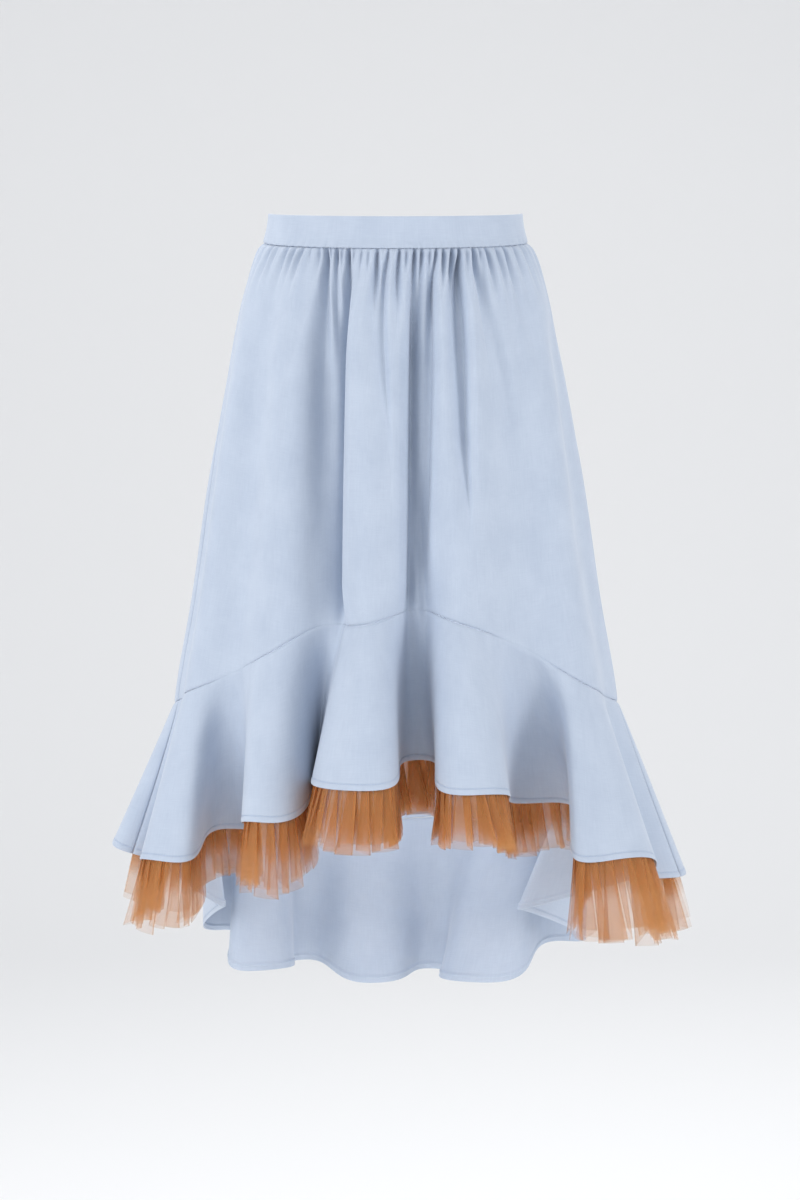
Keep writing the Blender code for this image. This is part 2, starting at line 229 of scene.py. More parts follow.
# Gathers under the waistband at the front: angle, depth, how far down they reach, width, and lean in degrees
GATHERS = table(
    ("angle", "deep", "reach", "width", "lean"),
    (-71.4, 3.2, 22, 2.6, -3),
    (-63.1, 4, 30, 2.8, -4),
    (-57.8, 2.7, 24, 2.4, -4),
    (-50.4, 4.3, 36, 2.8, -4),
    (-45.4, 4.3, 30, 2.5, -5),
    (-40.8, 5.2, 42, 2.6, -5),
    (-36.5, 2.7, 28, 2.2, -5),
    (-32.5, 3.2, 34, 2.3, -3),
    (-29.6, 8.7, 90, 2.5, -1),
    (-27.2, 2.1, 22, 1.8, 0),
    (-24.5, 7.2, 52, 2.1, 0),
    (-21.6, 2.3, 28, 1.9, 0),
    (-19.2, 9.7, 110, 2.4, 1),
    (-16.8, 2.3, 26, 1.9, 0),
    (-13.3, 2.9, 34, 2.1, 0),
    (-10.4, 2.3, 30, 2.2, 0),
    (-7.1, 7.7, 62, 2.4, 0),
    (-4.3, 1.8, 20, 1.8, 0),
    (-2.6, 6.3, 74, 2.1, -1),
    (-0.2, 1.3, 18, 1.7, 0),
    (1.8, 7.7, 66, 2.2, -1),
    (4.6, 2.6, 24, 1.9, -1),
    (8.1, 9.2, 120, 2.5, -1),
    (10.8, 7.7, 80, 2.3, -1),
    (14.3, 2.6, 28, 2, -1),
    (17.1, 7.7, 70, 2.3, -1),
    (20.1, 6.7, 54, 2.1, 0),
    (24.1, 8.2, 90, 2.4, -1),
    (27.2, 8.7, 100, 2.2, -1),
    (30.5, 2.3, 30, 2, 1),
    (33.9, 8.7, 110, 2.5, 3),
    (36.5, 4.3, 26, 2, 3),
    (40.2, 7.3, 44, 2.4, 4),
    (46, 4.8, 36, 2.6, 4),
    (51.1, 5.7, 40, 2.6, 4),
    (58.6, 4.3, 34, 2.8, 4),
    (66, 3.5, 28, 2.8, 3),
    (72, 3.2, 24, 2.8, 3),
)
BACK_GATHERS = 42
BACK_GATHERS_FROM = 80.0
BACK_GATHERS_TO = 282.0

# Height at which the gathers' widths are measured, and how far a panel's columns crowd together at them
GATHER_LINE = -20.0
GATHER_CROWD = 2.2
GATHER_CROWD_WIDTH = 3.2

# How much sooner the tulle thins out below the hem, across the skirt's front
AIRY = table(
    ("x", "airy"),
    (-224, 1.1),
    (-122, 0.8),
    (-60, 0.1),
    (20, -0.5),
    (68, -0.1),
    (131, 0.3),
    (214, 1.35),
)


def hermite(t):
    """Weights of the start, its slope, the end and its slope."""
    return 2 * t**3 - 3 * t**2 + 1, t**3 - 2 * t**2 + t, 3 * t**2 - 2 * t**3, t**3 - t**2


def eased(low, high, at):
    """0 below low, 1 above high, and a smooth rise between them."""
    t = np.clip((at - low) / (high - low), 0, 1)
    return t * t * (3 - 2 * t)


def smooth(rows, key, name, at):
    """Column name at places in column key, on a curve through the rows that never overshoots them."""
    place, value = rows[key], rows[name]
    run = np.diff(value) / np.diff(place)
    before, after = run[:-1], run[1:]
    total = np.where(before * after > 0, before + after, 1.0)
    slope = np.zeros(len(place))
    slope[1:-1] = np.where(before * after > 0, 2 * before * after / total, 0.0)
    at = np.asarray(at, float)
    k = np.clip(np.searchsorted(place, at) - 1, 0, len(place) - 2)
    width = place[k + 1] - place[k]
    start, leave, end, arrive = hermite(np.clip((at - place[k]) / width, 0, 1))
    return start * value[k] + end * value[k + 1] + width * (leave * slope[k] + arrive * slope[k + 1])


def fold(q):
    """The folds at places q, between row floor(q) and the next."""
    q = np.asarray(q, float)
    k = np.floor(q).astype(int)
    t = q - k
    a, b = k % TURN, (k + 1) % TURN
    turn_a, turn_b = 360 * (k // TURN), 360 * ((k + 1) // TURN)
    ease = (1 - np.cos(np.pi * t)) / 2
    start, leave, end, arrive = hermite(t)
    way = np.radians(FOLDS["faces"])
    run_x, run_y = np.cos(way) * FOLDS["breadth"], np.sin(way) * FOLDS["breadth"]

    def between(name, share):
        return FOLDS[name][a] + (FOLDS[name][b] - FOLDS[name][a]) * share

    def turning(name):
        low, high = FOLDS[name][a] + turn_a, FOLDS[name][b] + turn_b
        return low + (high - low) * t

    x = start * FOLDS["x"][a] + end * FOLDS["x"][b] + leave * run_x[a] + arrive * run_x[b]
    y = start * FOLDS["y"][a] + end * FOLDS["y"][b] + leave * run_y[a] + arrive * run_y[b]
    return {
        "waist": turning("waist"),
        "seam": turning("seam"),
        "relief": between("relief", ease),
        "net": between("net", ease),
        "hem": np.stack((x, y, between("z", ease)), axis=-1),
    }


def form_points(angle, z, out=0.0):
    """Points of the form at angles from the front and heights, moved straight out by out."""
    angle, z, out = np.broadcast_arrays(np.asarray(angle, float), z, out)
    across, ahead = np.sin(np.radians(angle)), np.cos(np.radians(angle))
    half_width = smooth(FORM, "z", "half_width", z)
    depth = np.where(ahead > 0, smooth(FORM, "z", "front", z), smooth(FORM, "z", "back", z))
    nx, ny = across / half_width, -ahead / depth
    size = np.hypot(nx, ny)
    return np.stack((half_width * across + nx / size * out, -depth * ahead + ny / size * out, z), axis=-1)


def seam_height(angle):
    """Height of the flounce seam."""
    return smooth(SEAM, "angle", "z", (np.asarray(angle) + 180) % 360 - 180)


def band_edge(angle, side_height, dip):
    """Height of an edge of the waistband that dips towards the front."""
    return side_height - dip * np.maximum(0.0, np.cos(np.radians(angle)))


def around(angle, line):
    """Angle past a line, the short way round."""
    return (angle - line + 180) % 360 - 180


def arc(angle, z):
    """Millimetres to a degree round the form."""
    half_width = smooth(FORM, "z", "half_width", z)
    depth = smooth(FORM, "z", "front", z)
    u = np.radians(angle)
    return np.radians(1) * np.hypot(half_width * np.cos(u), depth * np.sin(u))


def crease_relief(angle, z):
    """How far the large creases lift the cloth of the body, and how many degrees they draw it over themselves."""
    out = np.zeros(np.broadcast(angle, z).shape)
    drawn = np.zeros_like(out)
    mm_per_degree = arc(angle, z)
    for i in range(len(CREASES["out"])):
        row = {name: values[i] for name, values in CREASES.items()}
        along = (row["from_z"] - z) / (row["from_z"] - row["to_z"])
        line = row["from_angle"] + (row["to_angle"] - row["from_angle"]) * np.clip(along, 0, 1)
        past = around(angle, line) * mm_per_degree
        trough = np.exp(-((past / np.where(past < 0, row["left"], row["right"])) ** 2))
        shown = eased(-0.02, row["grow"], along) * (1 - eased(1 - row["fade"], 1.0, along))
        out += row["out"] * shown * trough
        lip = np.where(past * row["lap"] > 0, 1 - trough, 0.0) * np.exp(-((past / LAP_REACH) ** 2))
        drawn -= row["lap"] * shown * lip
    return out, drawn / mm_per_degree


def all_gathers():
    """The front's gathers and as many like them round the back."""
    chance = np.random.default_rng(11)
    count = BACK_GATHERS
    step = (BACK_GATHERS_TO - BACK_GATHERS_FROM) / count
    deep = chance.random(count) ** 1.5
    back = {
        "angle": BACK_GATHERS_FROM + step * (np.arange(count) + 0.5 + 0.35 * chance.uniform(-1, 1, count)),
        "deep": 1.8 + 7.5 * deep,
        "reach": 22 + 90 * deep * chance.uniform(0.6, 1.0, count),
        "width": 2.2 + 0.7 * chance.random(count),
        "lean": chance.uniform(-3, 3, count),
    }
    return {name: np.concatenate((GATHERS[name], back[name])) for name in GATHERS}


def gather_relief(angle, below):
    """How far the gathers lift the cloth, at angles of the waist and distances below the waistband."""
    rows = all_gathers()
    out = np.zeros(np.broadcast(angle, below).shape)
    mm_per_degree = arc(angle, GATHER_LINE)
    for i in range(len(rows["deep"])):
        deep, reach, width, lean = (rows[name][i] for name in ("deep", "reach", "width", "lean"))
        line = rows["angle"][i] + lean * below / 100
        past = np.abs(around(angle, line)) * mm_per_degree / (width * (0.75 + below / 60))
        shown = (0.4 + 0.6 * eased(0, 6, below)) * np.exp(-((below / reach) ** 1.6))
        out += deep * shown * (0.35 * np.exp(-((past - 1.9) ** 2)) - np.exp(-(past**1.4)))
    return out


def seam_roll(distance):
    """How far cloth rolls in at a seam, at distances from it."""
    return -SEAM_ROLL * np.exp(-((distance / SEAM_ROLL_WIDTH) ** 1.3))


def body_surface(q, level):
    """The body from the waistband (level 0) to the flounce seam (level 1), with all its folds."""
    f = fold(q)
    top = band_edge(f["waist"], BAND_BOTTOM, BOTTOM_DIP) - SEAM_GAP
    end = seam_height(f["seam"]) + SEAM_GAP / 2
    angle = f["waist"] + (f["seam"] - f["waist"]) * level**0.7
    z = top + (end - top) * level
    grown = np.sin(np.pi / 2 * np.minimum(1.0, 1.6 * level))
    creased, drawn = crease_relief(angle, z)
    out = f["relief"] * grown + creased + gather_relief(f["waist"], top - z)
    return form_points(angle + drawn, z, out)


def body_length(q):
    """Height of the body from the waistband to the flounce seam."""
    f = fold(q)
    return band_edge(f["waist"], BAND_BOTTOM, BOTTOM_DIP) - seam_height(f["seam"])


def plain_hem(q):
    """The hem's line with its flutes evened out."""
    steps = np.linspace(-1, 1, 9)
    weights = 1 - np.abs(steps) * 0.5
    weights[[0, -1]] /= 2
    return sum(fold(q + step)["hem"] * weight for step, weight in zip(steps, weights)) / weights.sum()


def flounce_surface(q, level):
    """The flounce from the seam (level 0) to the hem (level 1), and on below it with less spread."""
    start = body_surface(q, 1.0)
    start[..., 2] -= SEAM_GAP
    hem = fold(q)["hem"]
    plain = plain_hem(q)
    past_hem = BELOW_HEM_SPREAD * np.maximum(level - 1.0, 0.0)
    spread = np.minimum(level, 1.0) ** SPREAD_CURVE + past_hem
    fluted = np.minimum(level, 1.0) ** FLUTE_CURVE + past_hem
    spread, fluted, level = (share[..., None] for share in np.broadcast_arrays(spread, fluted, level))
    plan = start + (plain - start) * spread + (hem - plain) * fluted
    drop = start + (hem - start) * level
    return np.concatenate((plan[..., :2], np.broadcast_to(drop, plan.shape)[..., 2:]), axis=-1)


def slant(q):
    """Length of the flounce from its seam to its hem."""
    return np.linalg.norm(flounce_surface(q, np.ones_like(q)) - flounce_surface(q, np.zeros_like(q)), axis=-1)


def levels(length, from_start, middle, from_end):
    """Levels of the rows of points for columns of these lengths: some set near both ends, and even ones between."""
    first = np.array(from_start)[:, None] / length
    last = 1 - np.array(from_end)[::-1, None] / length
    share = np.linspace(0, 1, middle + 2)[1:-1, None]
    return np.concatenate((first, first[-1] + (last[0] - first[-1]) * share, last))


def places(start, end, per_fold):
    """Evenly spaced places in the table of folds."""
    return np.linspace(start, end, round((end - start) * per_fold) + 1)


def directions(points):
    """Unit vectors along the columns, down the rows and out of the cloth, at each point of a grid."""
    way = np.gradient(points, axis=1)
    down = np.gradient(points, axis=0)
    out = np.cross(down, way)
    return [v / np.maximum(np.linalg.norm(v, axis=-1, keepdims=True), 1e-9) for v in (way, down, out)]


def run_along(points, axis):
    """Distance from the first point of each row (axis 1) or column (axis 0)."""
    step = np.linalg.norm(np.diff(points, axis=axis), axis=-1)
    return np.insert(np.cumsum(step, axis=axis), 0, 0.0, axis=axis)


def piece(name, corners, faces, smooth_faces, material):
    """A mesh object from points in millimetres."""
    data = bpy.data.meshes.new(name)
    data.from_pydata((np.asarray(corners) * MM).tolist(), [], faces)
    data.polygons.foreach_set("use_smooth", smooth_faces)
    data.materials.append(material)
    made = bpy.data.objects.new(name, data)
    bpy.context.scene.collection.objects.link(made)
    return made


def grid_faces(rows, columns, first=0):
    """Faces of a grid of points numbered along its rows, facing out."""
    i, j = np.meshgrid(np.arange(rows - 1), np.arange(columns - 1), indexing="ij")
    corner = first + i * columns + j
    return np.stack((corner, corner + columns, corner + columns + 1, corner + 1), axis=-1).reshape(-1, 4)


def shell(name, points, thickness, material):
    """A closed shell of cloth: its outer face through the grid of points, its inner face that far further in."""
    rows, columns = points.shape[:2]
    out = directions(points)[2]
    inner = points - out * np.broadcast_to(thickness, (rows, columns))[..., None]
    outside = grid_faces(rows, columns)
    inside = grid_faces(rows, columns, rows * columns)[:, ::-1]
    number = np.arange(rows * columns).reshape(rows, columns)
    rims = []
    for edge, back in ((number[0], True), (number[-1], False), (number[:, 0], False), (number[:, -1], True)):
        far = edge + rows * columns
        rim = np.stack((edge[:-1], edge[1:], far[1:], far[:-1]), axis=-1)
        rims.append(rim if back else rim[:, ::-1])
    faces = np.concatenate((outside, inside, *rims))
    smooth_faces = np.ones(len(faces), bool)
    smooth_faces[len(outside) + len(inside) :] = False
    corners = np.concatenate((points.reshape(-1, 3), inner.reshape(-1, 3)))
    made = piece(name, corners, faces.tolist(), smooth_faces, material)
    middle = np.broadcast_to(run_along(points, 1)[rows // 2], (rows, columns))
    down = run_along(points, 0)
    note_both_faces(made, "threads_mm", np.stack((middle, down, np.zeros_like(down)), axis=-1))
    return made


def note(made, name, vectors):
    """Keeps a vector for each point of a mesh."""
    kept = made.data.attributes.new(name, "FLOAT_VECTOR", "POINT")
    kept.data.foreach_set("vector", vectors.ravel())


def note_both_faces(made, name, vectors):
    """Keeps a vector for each point of a shell's grid, the same on its outer and inner face."""
    flat = vectors.reshape(-1, 3)
    note(made, name, np.concatenate((flat, flat)))


def body_places(start, end):
    """Places of a body panel's columns, closer together at the gathers."""
    even = places(start, end, 400)
    angle = fold(even)["waist"]
    mm_per_degree = arc(angle, GATHER_LINE)
    past = around(angle[:, None], all_gathers()["angle"]) * mm_per_degree[:, None]
    crowd = mm_per_degree * (1 + GATHER_CROWD * np.exp(-((past / GATHER_CROWD_WIDTH) ** 2)).sum(axis=1))
    run = np.insert(np.cumsum((crowd[1:] + crowd[:-1]) / 2 * np.diff(angle)), 0, 0.0)
    return np.interp(np.linspace(0, run[-1], round((end - start) * BODY_COLUMNS) + 1), run, even)


def rolled(points, roll):
    """A panel's points lifted by roll, rolled in at its side seams and set back from them by half a gap."""
    way, _, out = directions(points)
    side = run_along(points, 1)
    roll = roll + seam_roll(side) + seam_roll(side[:, -1:] - side)
    points = points + out * roll[..., None]
    points[:, 0] += way[:, 0] * SEAM_GAP / 2
    points[:, -1] -= way[:, -1] * SEAM_GAP / 2
    return points


def body_panel(name, start, end, material):
    q = body_places(start, end)
    length = body_length(q)
    level = levels(length, BODY_TOP_ROWS, BODY_ROWS, SEAM_ROWS)
    points = body_surface(q, level)
    points = rolled(points, seam_roll((1 - level) * length) + seam_roll(level * length))
    return shell(name, points, CLOTH, material)


def flounce_panel(name, start, end, material):
    q = places(start, end, FLOUNCE_COLUMNS)
    length = slant(q)
    level = levels(length, SEAM_ROWS, FLOUNCE_ROWS, HEM_ROWS)
    to_hem = (1 - level) * length
    edge = np.exp(-((to_hem / HEM_EDGE) ** 2))
    roll = seam_roll(level * length)
    roll -= HEM_GROOVE * np.exp(-(((to_hem - HEM_STITCHED) / 0.7) ** 2))
    roll += HEM_PUFF * (1 - eased(HEM_STITCHED - 2, HEM_STITCHED, to_hem))
    roll -= HEM_EDGE * edge
    points = rolled(flounce_surface(q, level), roll)
    turned = 1 - eased(HEM_TURNED - 0.6, HEM_TURNED + 0.6, to_hem)
    return shell(name, points, CLOTH + HEM_THICKER * (turned - edge), material)


def stitched_line(q):
    """Points along the flounce where its hem is stitched, and the way out there."""
    level = np.stack([1 - (HEM_STITCHED + off) / slant(q) for off in (0.5, 0.0, -0.5)])
    points = flounce_surface(q, level)
    return points[1], directions(points)[2][1]


def at_distances(far, line, at):
    """Points of a line at distances along it."""
    return np.stack([np.interp(at, far, line[:, axis]) for axis in range(3)], axis=-1)


def stitches(name, starts, ends, out, thick, material):
    """Short raised stitches of thread from start to end, each thinner where it dips into the cloth."""
    count = len(starts)
    run = ends - starts
    ahead = run / np.linalg.norm(run, axis=1, keepdims=True)
    side = np.cross(ahead, out)
    ring = THREAD_POINTS
    corners = []
    for share, wide in STITCH_RINGS:
        for turn in range(ring):
            u = 2 * math.pi * turn / ring
            corners.append(starts + run * share + (out * math.cos(u) + side * math.sin(u)) * thick * wide)
    corners = np.stack(corners, axis=1)
    faces = []
    for k in range(len(STITCH_RINGS) - 1):
        for turn in range(ring):
            a, b = k * ring + turn, k * ring + (turn + 1) % ring
            faces.append((a, b, b + ring, a + ring))
    first, last = np.arange(ring)[::-1], np.arange(ring) + ring * (len(STITCH_RINGS) - 1)
    for cap in (first, last):
        faces += [cap[[0, 1, 2, 3]], cap[[0, 3, 4, 5]]]
    per_stitch = ring * len(STITCH_RINGS)
    faces = (np.array(faces)[None] + per_stitch * np.arange(count)[:, None, None]).reshape(-1, 4)
    return piece(name, corners.reshape(-1, 3), faces.tolist(), [True] * len(faces), material)


def hem_topstitch(name, start, end, material):
    """The line of stitches that holds the turned hem."""
    line, out = stitched_line(places(start + 0.02, end - 0.02, HEM_LINE_COLUMNS))
    far = run_along(line[None], 1)[0]
    middle = (np.arange(int(far[-1] / STITCH_STEP)) + 0.5) * STITCH_STEP
    starts = at_distances(far, line, middle - STITCH / 2)
    ends = at_distances(far, line, middle + STITCH / 2)
    return stitches(name, starts, ends, at_distances(far, out, middle), THREAD, material)


def overlock(name, material):
    """The zigzag of thread over the raw upper edge of the seam allowance, on its inner face."""
    q = places(RIGHT_SEAM + 0.02, LEFT_SEAM + TURN - 0.02, OVERLOCK_COLUMNS)
    level = 1 - np.array((ALLOWANCE + 1.0, ALLOWANCE - 2.2))[:, None] / body_length(q)
    lines = body_surface(q, level)
    inward = -directions(lines)[2]
    lines = lines + inward * (ALLOWANCE_STANDS_IN + ALLOWANCE_WALL + OVERLOCK_THREAD / 2)
    far = run_along(lines, 1)[0]
    at = np.arange(0, far[-1], OVERLOCK_STEP)
    high, low = (at_distances(far, edge, at) for edge in lines)
    facing = at_distances(far, inward[0], at)
    starts = np.concatenate((high, low[:-1]))
    ends = np.concatenate((low, high[1:]))
    return stitches(name, starts, ends, np.concatenate((facing, facing[:-1])), OVERLOCK_THREAD, material)


def band_panel(name, start, end, material):
    """A length of the waistband: one folded strip, closed all round its section."""
    angle = fold(places(start, end, BAND_COLUMNS))["waist"]
    low = band_edge(angle, BAND_BOTTOM, BOTTOM_DIP)
    high = band_edge(angle, BAND_TOP, TOP_DIP)
    gathered = gather_relief(angle, 4.0)
    half = BAND_THICK / 2
    section = [(half, share) for share in np.linspace(0.0, 0.93, 12)]
    for turn in (30, 60, 90, 120, 150):
        u = math.radians(turn)
        section.append((half * math.cos(u), 0.95 + 0.05 * math.sin(u)))
    section += [(-half, share) for share in np.linspace(0.93, 0.0, 9)] + [(0.0, -0.012)]
    rings = []
    for out, share in section:
        edge = 0.22 * gathered * (1 - eased(0, 0.35, share)) if out > 0 else 0.0
        roll = -0.5 * math.exp(-((share / 0.04) ** 2)) if out > 0 else 0.0
        rings.append(form_points(angle, low + (high - low) * share, BAND_STANDS_OUT - half + out + edge + roll))
    points = np.stack(rings, axis=1)
    way = np.gradient(points, axis=0)
    way /= np.linalg.norm(way, axis=-1, keepdims=True)
    points[0] += way[0] * SEAM_GAP / 2
    points[-1] -= way[-1] * SEAM_GAP / 2
    columns, ring = points.shape[:2]
    i, j = np.meshgrid(np.arange(columns - 1), np.arange(ring), indexing="ij")
    corner, beside = i * ring + j, i * ring + (j + 1) % ring
    faces = np.stack((corner, corner + ring, beside + ring, beside), axis=-1).reshape(-1, 4).tolist()
    k = np.arange(ring)
    first, last = columns * ring, columns * ring + 1
    far = (columns - 1) * ring
    caps = [(first, int(a), int(b)) for a, b in zip(k, (k + 1) % ring)]
    caps += [(last, int(b), int(a)) for a, b in zip(far + k, far + (k + 1) % ring)]
    corners = np.concatenate((points.reshape(-1, 3), points.mean(axis=1)[[0, -1]]))
    made = piece(name, corners, faces + caps, [True] * len(faces) + [False] * len(caps), material)
    along = np.broadcast_to(run_along(points, 0)[:, :1], (columns, ring))
    up = np.broadcast_to(-np.array([share for _, share in section]) * BAND_HEIGHT, (columns, ring))
    laid = np.stack((along, up, np.zeros_like(up)), axis=-1).reshape(-1, 3)
    note(made, "threads_mm", np.concatenate((laid, laid[[0, -1]])))
    return made


def allowance_strip(name, material):
    """The seam allowance turned up inside the back, along the flounce seam."""
    q = places(RIGHT_SEAM, LEFT_SEAM + TURN, ALLOWANCE_COLUMNS)
    length = body_length(q)
    level = 1 - np.linspace(ALLOWANCE + 0.5, 0.5, 5)[:, None] / length
    points = body_surface(q, level)
    out = directions(points)[2]
    points -= out * ALLOWANCE_STANDS_IN
    return shell(name, points, ALLOWANCE_WALL, material)


def tulle_ply(name, seed, set_in, shorter, advance, material):
    """One ply of the frill: a strip of net in overlapping pleats that fan out below the hem."""
    chance = np.random.default_rng(seed)
    q_line = places(LEFT_SEAM, RIGHT_SEAM, NET_COLUMNS)
    run = run_along(flounce_surface(q_line, np.ones_like(q_line))[None], 1)[0]
    pleats = int(run[-1] / advance)
    folds = np.arange(2 * pleats)
    side = np.where(folds % 2, 1.0, -1.0)

    def pleat(low, high):
        return np.repeat(chance.uniform(low, high, pleats), 2)

    def each(low, high):
        return chance.uniform(low, high, 2 * pleats)

    centre = np.repeat(np.linspace(advance / 2, run[-1] - advance / 2, pleats), 2) + pleat(-3, 3)
    airy = smooth(AIRY, "x", "airy", fold(np.interp(centre, run, q_line))["hem"][:, 0])
    half_top = pleat(9.5, 12.5)
    half_end = pleat(10.0, 15.0)
    sway = pleat(-6, 6)
    deep_top = each(1.0, 2.2)
    deep_end = each(1.6, 5.0)
    kick = pleat(-4, 4)
    cut = 1 - shorter - pleat(0, 1) * (0.1 + 0.14 * np.maximum(airy, 0)) - each(0, 0.03)
    tone = each(-1, 1)
    at = (folds[:-1, None] + np.array(PLEAT_POINTS)).ravel()
    # Fold lines of the pleats: the net is denser there, and its colour carries a painted highlight along them
    folded = np.exp(-((np.abs(at - np.round(at)) / 0.04) ** 2))
    strip = tone[at.astype(int)]

    def spread(values):
        return np.interp(at, folds, values)

    grid, noted = [], []
    for level in NET_LEVELS:
        opened = max(level, 0.0)
        lap = spread(centre + side * (half_top + (half_end - half_top) * opened) + sway * opened)
        q = np.interp(np.clip(lap, 0, run[-1]), run, q_line)
        length = np.where(level > 0, fold(q)["net"] * spread(cut), FRILL_SEWN)
        past_hem = 1 + length * level / slant(q)
        points = flounce_surface(q, past_hem)
        beside = flounce_surface(q + 0.01, past_hem) - flounce_surface(q - 0.01, past_hem)
        out = np.stack((beside[..., 1], -beside[..., 0], np.zeros_like(q)), axis=-1)
        out /= np.maximum(np.linalg.norm(out, axis=-1, keepdims=True), 1e-9)
        zigzag = spread(side * (deep_top + (deep_end - deep_top) * opened))
        bowed = 0.9 * np.sin(np.pi * (at % 1)) * (0.3 + opened)
        lift = zigzag + bowed + spread(kick) * opened**1.5 + 2.0 * opened
        grid.append(points + out * (lift - set_in)[..., None])
        noted.append(np.stack((level + AIRY_SHIFT * spread(airy), folded, strip), axis=-1))
    made = shell(name, np.stack(grid), TULLE, material)
    note_both_faces(made, "net", np.stack(noted))
    return made


def linear(hex_colour, alpha=1.0):
    """A linear colour from sRGB hex."""
    parts = [int(hex_colour[i : i + 2], 16) / 255 for i in (0, 2, 4)]
    return (*[c / 12.92 if c <= 0.04045 else ((c + 0.055) / 1.055) ** 2.4 for c in parts], alpha)


def add(tree, kind, settings=None, values=None, links=None):
    """Adds a node with its settings, its sockets' values and its links, each by socket name or number."""
    made = tree.nodes.new(kind)
    for name, value in (settings or {}).items():
        setattr(made, name, value)
    for socket, value in (values or {}).items():
        made.inputs[socket].default_value = value
    for socket, (node, output) in (links or {}).items():
        tree.links.new(node.outputs[output], made.inputs[socket])
    return made


def blank(name):
    """A material with nothing in it but its output."""
    material = bpy.data.materials.new(name)
    material.use_nodes = True
    tree = material.node_tree
    tree.nodes.clear()
    return material, tree


def stretched_noise(tree, coordinates, spacing, detail):
    """Noise whose grain is spacing millimetres long each way."""
    placed = add(
        tree,
        "ShaderNodeMapping",
        values={"Scale": [1 / s for s in spacing]},
        links={"Vector": coordinates},
    )
    return add(
        tree,
        "ShaderNodeTexNoise",
        values={"Scale": 1.0, "Detail": detail, "Roughness": 0.55},
        links={"Vector": (placed, "Vector")},
    )


def peached_cotton(name, light, deep):
    """Pale blue cotton sateen with a peached face: soft, matt, with faint slubs both ways and a cloudy dye."""
    material, tree = blank(name)
    laid = (add(tree, "ShaderNodeAttribute", {"attribute_name": "threads_mm"}), "Vector")
    # Threads are 0.3 mm apart in the cloth; drawn 1.1 mm apart and 16 mm long, so that slubs show
    weft = stretched_noise(tree, laid, (16.0, 1.1, 1.0), 2.0)
    warp = stretched_noise(tree, laid, (1.3, 22.0, 1.0), 2.0)
    clouds = stretched_noise(tree, laid, (34.0, 44.0, 30.0), 3.0)
    woven = add(
        tree,
        "ShaderNodeMath",
        {"operation": "ADD"},
        links={0: (weft, "Fac"), 1: (warp, "Fac")},
    )
    tone = add(
        tree,
        "ShaderNodeMath",
        {"operation": "MULTIPLY_ADD"},
        {1: 0.55},
        {0: (woven, 0), 2: (clouds, "Fac")},
    )
    share = add(
        tree,
        "ShaderNodeMapRange",
        values={"From Min": 0.72, "From Max": 1.38, "To Min": 0.0, "To Max": 1.0},
        links={"Value": (tone, 0)},
    )
    colour = add(
        tree,
        "ShaderNodeMix",
        {"data_type": "RGBA"},
        {6: linear(deep), 7: linear(light)},
        {0: (share, 0)},
    )
    bump = add(
        tree,
        "ShaderNodeBump",
        values={"Strength": 0.18, "Distance": 0.0004},
        links={"Height": (woven, 0)},
    )
    shader = add(
        tree,
        "ShaderNodeBsdfPrincipled",
        values={"Roughness": 0.72, "IOR": 1.5, "Sheen Weight": 0.25, "Sheen Roughness": 0.5},
        links={"Base Color": (colour, 2), "Normal": (bump, 0)},
    )
    add(tree, "ShaderNodeOutputMaterial", links={"Surface": (shader, 0)})
    return material


def nylon_tulle(name):
    """Tan nylon tulle: a fine net, denser where its folds lie double, with a painted highlight along those folds,
    thinning out to its cut ends.
    """
    material, tree = blank(name)
    laid = (add(tree, "ShaderNodeAttribute", {"attribute_name": "threads_mm"}), "Vector")
    net = add(tree, "ShaderNodeAttribute", {"attribute_name": "net"})
    parts = add(tree, "ShaderNodeSeparateXYZ", links={0: (net, "Vector")})
    # Cells are 0.8 mm across, too fine to show; drawn as streaks 4 mm wide along the drop
    streaks = stretched_noise(tree, laid, (4.0, 60.0, 1.0), 2.0)
    # Painted highlight: along the pleat folds the net's colour is lifted halfway to the lighter tan, on top of its
    # random streaks
    lighter = add(
        tree,
        "ShaderNodeMath",
        {"operation": "MULTIPLY_ADD"},
        {1: 0.5},
        {0: (parts, "Y"), 2: (streaks, "Fac")},
    )
    colour = add(
        tree,
        "ShaderNodeMix",
        {"data_type": "RGBA"},
        {6: linear("BE7D3A"), 7: linear("EDB574")},
        {0: (lighter, 0)},
    )
    down = add(
        tree,
        "ShaderNodeMapRange",
        {"interpolation_type": "SMOOTHSTEP"},
        {"From Min": 0.4, "From Max": 1.0, "To Min": 0.43, "To Max": 0.12},
        {"Value": (parts, "X")},
    )
    uneven = add(
        tree,
        "ShaderNodeMath",
        {"operation": "MULTIPLY_ADD"},
        {1: 0.035},
        {0: (parts, "Z"), 2: (down, 0)},
    )
    cover = add(
        tree,
        "ShaderNodeMath",
        {"operation": "MULTIPLY_ADD", "use_clamp": True},
        {1: 0.22},
        {0: (parts, "Y"), 2: (uneven, 0)},
    )
    shader = add(
        tree,
        "ShaderNodeBsdfPrincipled",
        values={"Roughness": 0.6, "IOR": 1.53, "Sheen Weight": 0.15},
        links={"Base Color": (colour, 2)},
    )
    glow = add(tree, "ShaderNodeBsdfTranslucent", links={"Color": (colour, 2)})
    yarn = add(tree, "ShaderNodeMixShader", values={0: 0.5}, links={1: (shader, 0), 2: (glow, 0)})
    holes = add(tree, "ShaderNodeBsdfTransparent")
    mesh = add(tree, "ShaderNodeMixShader", links={0: (cover, 0), 1: (holes, 0), 2: (yarn, 0)})
    add(tree, "ShaderNodeOutputMaterial", links={"Surface": (mesh, 0)})
    return material


